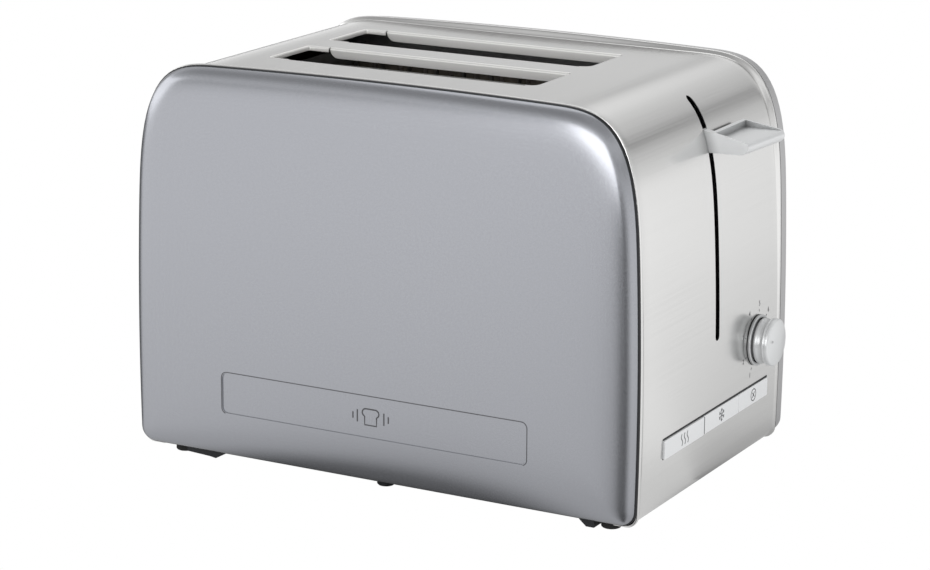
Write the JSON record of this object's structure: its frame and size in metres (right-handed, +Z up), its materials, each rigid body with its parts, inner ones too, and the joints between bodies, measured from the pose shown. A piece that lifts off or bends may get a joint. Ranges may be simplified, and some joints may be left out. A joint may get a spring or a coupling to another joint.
{
  "type": "pop up toaster",
  "caption": "Pop-up toaster for bread slices, with a steel wrap, pressed panels, side lever, browning knob, push keys and pull-out crumb tray.",
  "frame": {"origin": "middle of the whole toaster's footprint, on the table", "axes": "+X to the end with the lever, knob and keys, -Y to the front panel, +Z up"},
  "size_m": [0.2896, 0.1832, 0.1981],
  "materials": {
    "brushed_steel": "brushed along the length, satin",
    "panel_paint": "satin silver-grey metallic",
    "silver_plastic": "satin silver moulded",
    "black_plastic": "fine matt moulded",
    "zinc_plate": "zinc plated sheet and wire",
    "mica": "flaky mica sheet",
    "heater_ribbon": "oxidised resistance ribbon",
    "guard_wire": "stamped steel grid",
    "foot_rubber": "matt",
    "coil_winding": "enamelled copper wire",
    "circuit_board": "solder resist",
    "capacitor_can": "sleeved can"
  },
  "bodies": {
    "housing": {"base_plate": "black_plastic", "capacitor": "capacitor_can", "control_board": "circuit_board", "cord_gland": "black_plastic", "defrost_switch": "black_plastic", "front_inner_heater_board": "mica", "front_inner_heater_ribbon": "heater_ribbon", "front_outer_heater_board": "mica", "front_outer_heater_ribbon": "heater_ribbon", "front_panel": "panel_paint", "front_post": "black_plastic", "front_reflector": "zinc_plate", "guide_bracket": "zinc_plate", "guide_rod": "zinc_plate", "key_frame": "black_plastic", "knob_collar": "silver_plastic", "left_end_plate": "zinc_plate", "left_front_cord_hook": "black_plastic", "left_front_foot": "foot_rubber", "left_front_screw": "zinc_plate", "left_rear_cord_hook": "black_plastic", "left_rear_foot": "foot_rubber", "left_rear_screw": "zinc_plate", "lift_spring": "zinc_plate", "magnet_coil": "coil_winding", "magnet_core": "zinc_plate", "mains_switch": "black_plastic", "rear_inner_heater_board": "mica", "rear_inner_heater_ribbon": "heater_ribbon", "rear_outer_heater_board": "mica", "rear_outer_heater_ribbon": "heater_ribbon", "rear_panel": "panel_paint", "rear_reflector": "zinc_plate", "reheat_switch": "black_plastic", "right_end_plate": "zinc_plate", "right_front_cord_hook": "black_plastic", "right_front_foot": "foot_rubber", "right_front_screw": "zinc_plate", "right_rear_cord_hook": "black_plastic", "right_rear_foot": "foot_rubber", "right_rear_screw": "zinc_plate", "stop_switch": "black_plastic", "timer_potentiometer": "zinc_plate", "wrap_shell": "brushed_steel"},
    "lift": {"lift_carriage": "zinc_plate", "armature_plate": "zinc_plate", "lever_handle": "silver_plastic", "front_bread_lifter": "brushed_steel", "rear_bread_lifter": "brushed_steel"},
    "front_inner_guard_slide": {"front_inner_guard": "guard_wire"},
    "front_outer_guard_slide": {"front_outer_guard": "guard_wire"},
    "rear_inner_guard_slide": {"rear_inner_guard": "guard_wire"},
    "rear_outer_guard_slide": {"rear_outer_guard": "guard_wire"},
    "knob": {"browning_knob": "silver_plastic", "timer_shaft": "zinc_plate"},
    "reheat_key_body": {"reheat_key": "silver_plastic"},
    "defrost_key_body": {"defrost_key": "silver_plastic"},
    "stop_key_body": {"stop_key": "silver_plastic"},
    "tray": {"crumb_tray": "zinc_plate", "crumb_tray_pull": "silver_plastic"}
  },
  "joints": [
    {"name": "lever_slide", "type": "slide", "parent": "housing", "child": "lift", "axis": [-0.0872, 0, 0.9962], "range_m": [-0.085, 0.01], "stiffness_N_per_m": 80, "springref_m": 0.0116, "deforming": ["lift_spring"]},
    {"name": "front_inner_guard_close", "type": "slide", "parent": "housing", "child": "front_inner_guard_slide", "axis": [0, -1, 0], "range_m": [-0.0013, 0.0101]},
    {"name": "front_outer_guard_close", "type": "slide", "parent": "housing", "child": "front_outer_guard_slide", "axis": [0, 1, 0], "range_m": [-0.0013, 0.0101]},
    {"name": "rear_inner_guard_close", "type": "slide", "parent": "housing", "child": "rear_inner_guard_slide", "axis": [0, 1, 0], "range_m": [-0.0013, 0.0101]},
    {"name": "rear_outer_guard_close", "type": "slide", "parent": "housing", "child": "rear_outer_guard_slide", "axis": [0, -1, 0], "range_m": [-0.0013, 0.0101]},
    {"name": "browning_turn", "type": "hinge", "parent": "housing", "child": "knob", "pos_m": [0.1288, 0.0495, 0.0618], "axis": [1, 0, 0], "range_deg": [-121, 80]},
    {"name": "reheat_press", "type": "slide", "parent": "housing", "child": "reheat_key_body", "axis": [-1, 0, 0], "range_m": [0, 0.0014], "stiffness_N_per_m": 400, "springref_m": -0.002},
    {"name": "defrost_press", "type": "slide", "parent": "housing", "child": "defrost_key_body", "axis": [-1, 0, 0], "range_m": [0, 0.0014], "stiffness_N_per_m": 400, "springref_m": -0.002},
    {"name": "stop_press", "type": "slide", "parent": "housing", "child": "stop_key_body", "axis": [-1, 0, 0], "range_m": [0, 0.0014], "stiffness_N_per_m": 400, "springref_m": -0.002},
    {"name": "tray_pull_out", "type": "slide", "parent": "housing", "child": "tray", "axis": [-1, 0, 0], "range_m": [0, 0.19]}
  ],
  "couplings": [
    {"joint": "front_inner_guard_close", "follows": "lever_slide", "ratio": -0.11765},
    {"joint": "front_outer_guard_close", "follows": "lever_slide", "ratio": -0.11765},
    {"joint": "rear_inner_guard_close", "follows": "lever_slide", "ratio": -0.11765},
    {"joint": "rear_outer_guard_close", "follows": "lever_slide", "ratio": -0.11765}
  ]
}
